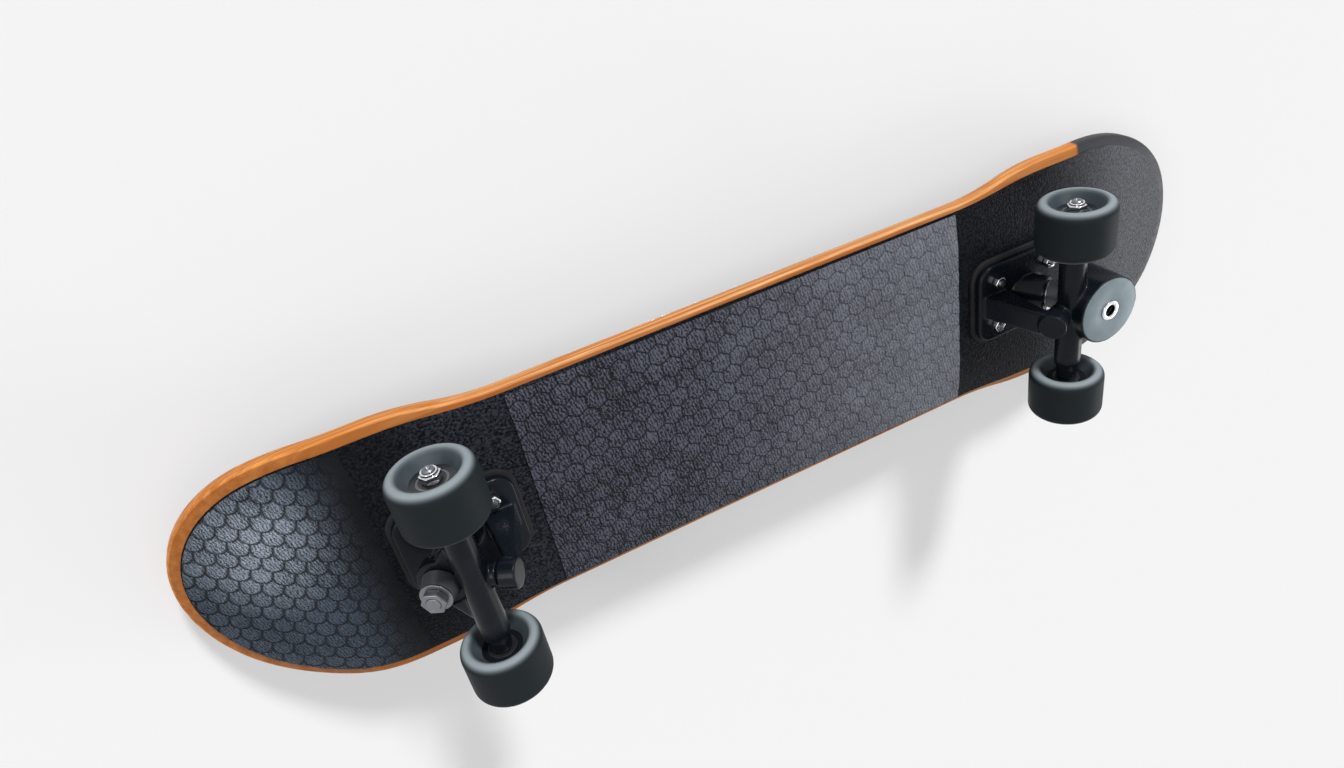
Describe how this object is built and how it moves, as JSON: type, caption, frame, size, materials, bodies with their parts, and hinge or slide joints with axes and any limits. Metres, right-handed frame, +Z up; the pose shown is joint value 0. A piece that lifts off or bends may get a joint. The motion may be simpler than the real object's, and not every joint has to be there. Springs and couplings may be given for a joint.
{
  "type": "skateboard",
  "caption": "Cruiser skateboard: kicked wooden deck with a raised black underside panel and scale-pressed tail pad, on sprung steering trucks with free-spinning urethane wheels.",
  "frame": {"origin": "centre of the footprint on the ground under the wheels", "axes": "+X to the nose, +Y to the rider's left, +Z up from the ground"},
  "size_m": [0.9, 0.212, 0.1482],
  "materials": {
    "maple": "satin lacquered veneer with a sanded round edge",
    "grip": "coarse black grit",
    "underside": "black sheet with a fine pebbled grain",
    "panel": "charcoal sheet pressed into hexagons",
    "tail_pad": "slate sheet pressed into round scales",
    "casting": "gloss black powder coat",
    "riser": "matt black rubber",
    "urethane": "slate urethane with a satin skin",
    "core": "black moulded hub",
    "steel": "bright ground steel",
    "chrome": "polished plating",
    "shield": "black rubber seal",
    "bushing": "grey urethane",
    "cup": "black nylon",
    "cover": "slate anodised plate"
  },
  "bodies": {
    "board": {"deck": "maple", "grip_tape": "grip", "underside_sheet": "underside", "centre_panel": "panel", "tail_pad": "tail_pad", "front_riser_pad": "riser", "front_baseplate": "casting", "front_pivot_cup": "cup", "front_kingpin": "steel", "front_bushing_board": "bushing", "front_bushing_road": "bushing", "front_bushing_washers": "steel", "front_kingpin_nut": "steel", "front_mounting_bolts": "steel", "front_mounting_nuts": "chrome", "rear_riser_pad": "riser", "rear_baseplate": "casting", "rear_pivot_cup": "cup", "rear_kingpin": "steel", "rear_bushing_board": "bushing", "rear_bushing_road": "bushing", "rear_bushing_washers": "steel", "rear_kingpin_nut": "steel", "rear_mounting_bolts": "steel", "rear_mounting_nuts": "chrome"},
    "front_hanger_unit": {"front_hanger": "casting", "front_axle": "steel", "front_bearing_inner_rings": "steel", "front_bearing_spacers": "steel", "front_speed_rings": "steel", "front_axle_nuts": "chrome", "front_housing_cover": "cover", "front_cover_eyelet": "chrome"},
    "front_left_wheel": {"front_left_tyre": "urethane", "front_left_core": "core", "front_left_bearing_outer_rings": "steel", "front_left_bearing_shields": "shield", "front_left_bearing_balls": "steel"},
    "front_right_wheel": {"front_right_tyre": "urethane", "front_right_core": "core", "front_right_bearing_outer_rings": "steel", "front_right_bearing_shields": "shield", "front_right_bearing_balls": "steel"},
    "rear_hanger_unit": {"rear_hanger": "casting", "rear_axle": "steel", "rear_bearing_inner_rings": "steel", "rear_bearing_spacers": "steel", "rear_speed_rings": "steel", "rear_axle_nuts": "chrome"},
    "rear_left_wheel": {"rear_left_tyre": "urethane", "rear_left_core": "core", "rear_left_bearing_outer_rings": "steel", "rear_left_bearing_shields": "shield", "rear_left_bearing_balls": "steel"},
    "rear_right_wheel": {"rear_right_tyre": "urethane", "rear_right_core": "core", "rear_right_bearing_outer_rings": "steel", "rear_right_bearing_shields": "shield", "rear_right_bearing_balls": "steel"}
  },
  "joints": [
    {"name": "front_steer", "type": "hinge", "parent": "board", "child": "front_hanger_unit", "pos_m": [0.27579, 0, 0.0472], "axis": [0.866, 0, 0.5], "range_deg": [-18, 18], "stiffness_Nm_per_rad": 60, "deforming": ["front_bushing_board", "front_bushing_road"]},
    {"name": "front_left_wheel_spin", "type": "hinge", "parent": "front_hanger_unit", "child": "front_left_wheel", "pos_m": [0.258, 0.0768, 0.03], "axis": [0, 1, 0], "continuous": true},
    {"name": "front_right_wheel_spin", "type": "hinge", "parent": "front_hanger_unit", "child": "front_right_wheel", "pos_m": [0.258, -0.0768, 0.03], "axis": [0, 1, 0], "continuous": true},
    {"name": "rear_steer", "type": "hinge", "parent": "board", "child": "rear_hanger_unit", "pos_m": [-0.27579, 0, 0.0472], "axis": [-0.866, 0, 0.5], "range_deg": [-18, 18], "stiffness_Nm_per_rad": 60, "deforming": ["rear_bushing_board", "rear_bushing_road"]},
    {"name": "rear_left_wheel_spin", "type": "hinge", "parent": "rear_hanger_unit", "child": "rear_left_wheel", "pos_m": [-0.258, 0.0768, 0.03], "axis": [0, 1, 0], "continuous": true},
    {"name": "rear_right_wheel_spin", "type": "hinge", "parent": "rear_hanger_unit", "child": "rear_right_wheel", "pos_m": [-0.258, -0.0768, 0.03], "axis": [0, 1, 0], "continuous": true}
  ]
}
